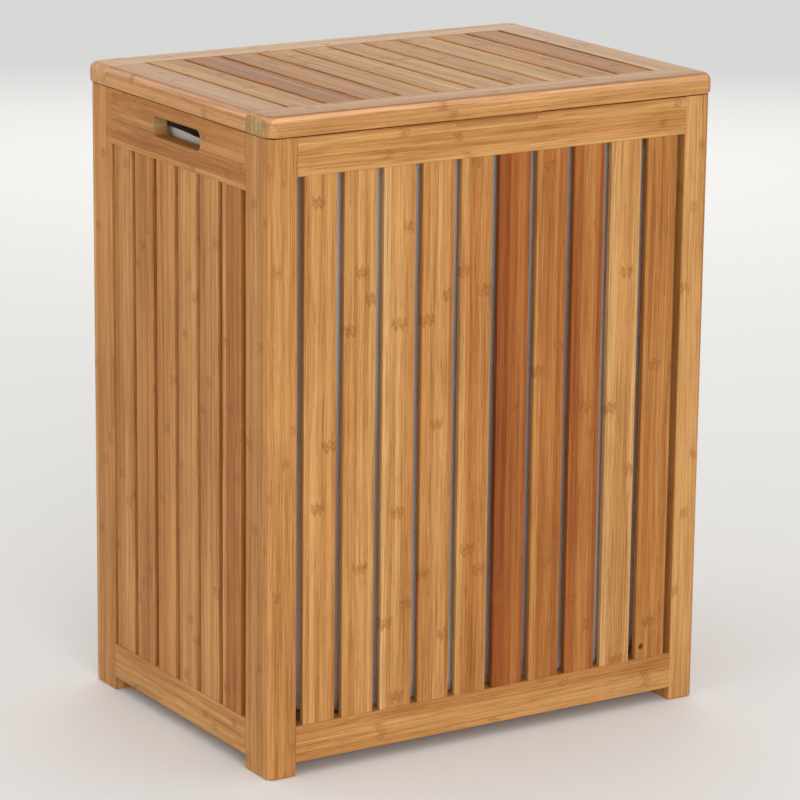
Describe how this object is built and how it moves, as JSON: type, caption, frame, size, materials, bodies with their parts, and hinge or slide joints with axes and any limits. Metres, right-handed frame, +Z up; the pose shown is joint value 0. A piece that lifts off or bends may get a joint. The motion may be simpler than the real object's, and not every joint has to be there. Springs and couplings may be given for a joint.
{
  "type": "laundry hamper with lid",
  "caption": "Upright laundry hamper: slatted bamboo body on post feet, hinged slatted lid, hand holes in both ends and a hanging cloth bag inside.",
  "frame": {"origin": "on the floor, under the middle of the hamper", "axes": "+X to the right along the wide front, -Y out of the front (the side the lid opens from), +Z up"},
  "size_m": [0.5, 0.357, 0.635],
  "materials": {
    "bamboo_frame": "semi-gloss clear varnish",
    "bamboo_slats": "semi-gloss clear varnish",
    "bamboo_lid_frame": "semi-gloss clear varnish",
    "bamboo_lid_slats": "semi-gloss clear varnish",
    "bamboo_floor": "matt, unvarnished",
    "dowel_wood": "matt, fluted",
    "bag_cloth": "plain woven cotton canvas",
    "hook_tape": "woven hook tape",
    "hinge_metal": "satin, plated",
    "screw_metal": "satin, plated",
    "bumper": "soft, translucent"
  },
  "bodies": {
    "hamper": {"post_front_left": "bamboo_frame", "post_front_right": "bamboo_frame", "post_back_left": "bamboo_frame", "post_back_right": "bamboo_frame", "front_top_rail": "bamboo_frame", "front_bottom_rail": "bamboo_frame", "back_top_rail": "bamboo_frame", "back_bottom_rail": "bamboo_frame", "left_top_rail": "bamboo_frame", "left_bottom_rail": "bamboo_frame", "right_top_rail": "bamboo_frame", "right_bottom_rail": "bamboo_frame", "front_slat_01": "bamboo_slats", "front_slat_02": "bamboo_slats", "front_slat_03": "bamboo_slats", "front_slat_04": "bamboo_slats", "front_slat_05": "bamboo_slats", "front_slat_06": "bamboo_slats", "front_slat_07": "bamboo_slats", "front_slat_08": "bamboo_slats", "front_slat_09": "bamboo_slats", "front_slat_10": "bamboo_slats", "left_slat_1": "bamboo_slats", "left_slat_2": "bamboo_slats", "left_slat_3": "bamboo_slats", "left_slat_4": "bamboo_slats", "left_slat_5": "bamboo_slats", "left_slat_6": "bamboo_slats", "right_slat_1": "bamboo_slats", "right_slat_2": "bamboo_slats", "right_slat_3": "bamboo_slats", "right_slat_4": "bamboo_slats", "right_slat_5": "bamboo_slats", "right_slat_6": "bamboo_slats", "back_slats": "bamboo_slats", "floor_cleats": "bamboo_floor", "floor_slats": "bamboo_floor", "rail_dowels": "dowel_wood", "liner": "bag_cloth", "liner_hook_tape": "hook_tape", "hinge_body_leaves": "hinge_metal", "hinge_pins": "hinge_metal", "hinge_body_screws": "screw_metal"},
    "lid": {"lid_front_rail": "bamboo_lid_frame", "lid_back_rail": "bamboo_lid_frame", "lid_left_stile": "bamboo_lid_frame", "lid_right_stile": "bamboo_lid_frame", "lid_slat_01": "bamboo_lid_slats", "lid_slat_02": "bamboo_lid_slats", "lid_slat_03": "bamboo_lid_slats", "lid_slat_04": "bamboo_lid_slats", "lid_slat_05": "bamboo_lid_slats", "lid_slat_06": "bamboo_lid_slats", "lid_slat_07": "bamboo_lid_slats", "lid_slat_08": "bamboo_lid_slats", "lid_slat_09": "bamboo_lid_slats", "lid_slat_10": "bamboo_lid_slats", "lid_bumpers": "bumper", "hinge_lid_leaves": "hinge_metal", "hinge_lid_screws": "screw_metal"}
  },
  "joints": [
    {"name": "lid_hinge", "type": "hinge", "parent": "hamper", "child": "lid", "pos_m": [0, 0.1755, 0.6149], "axis": [-1, 0, 0], "range_deg": [0, 102]}
  ]
}
